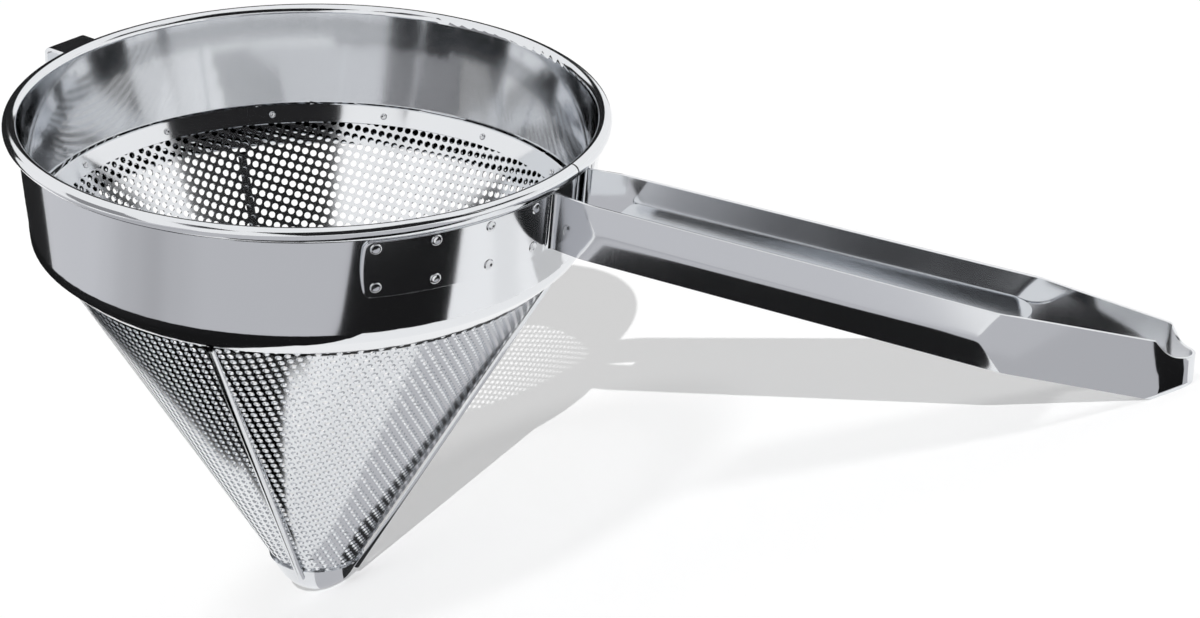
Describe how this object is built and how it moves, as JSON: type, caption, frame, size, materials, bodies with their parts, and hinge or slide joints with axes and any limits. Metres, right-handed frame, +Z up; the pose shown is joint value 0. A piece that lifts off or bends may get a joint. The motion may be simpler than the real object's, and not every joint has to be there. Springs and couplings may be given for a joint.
{
  "type": "chinois strainer",
  "caption": "Polished stainless conical strainer with a perforated cone, rolled rim band, folded strap handle with a hanging loop, and a pot hook.",
  "frame": {"origin": "the lowest point of the domed nose, where it rests on the table", "axes": "+Z up from the table; +X along the handle in plan, from the nose toward the handle's end; +Y to the left of +X. The strainer leans as it stands: its cone axis is tipped about Y by about 26.4 degrees from +Z toward +X, so that it rests on its nose and on the end of its handle."},
  "size_m": [0.3808, 0.203, 0.2137],
  "materials": {
    "band_steel": "mirror-polished stainless sheet",
    "cone_steel": "polished perforated stainless sheet",
    "handle_steel": "mirror-polished stainless strip",
    "wire_steel": "plain drawn wire, inside the rim",
    "weld_steel": "spot weld marks"
  },
  "bodies": {
    "root": {"band": "band_steel", "rim_wire": "wire_steel", "perforated_cone": "cone_steel", "inner_ring": "band_steel", "tip_cap": "cone_steel", "rib_front": "cone_steel", "rib_handle_side": "cone_steel", "rib_back": "cone_steel", "handle_strap": "handle_steel", "handle_plate": "handle_steel", "pot_hook": "handle_steel", "handle_welds": "weld_steel", "hook_welds": "weld_steel", "ring_welds": "weld_steel"}
  },
  "joints": []
}
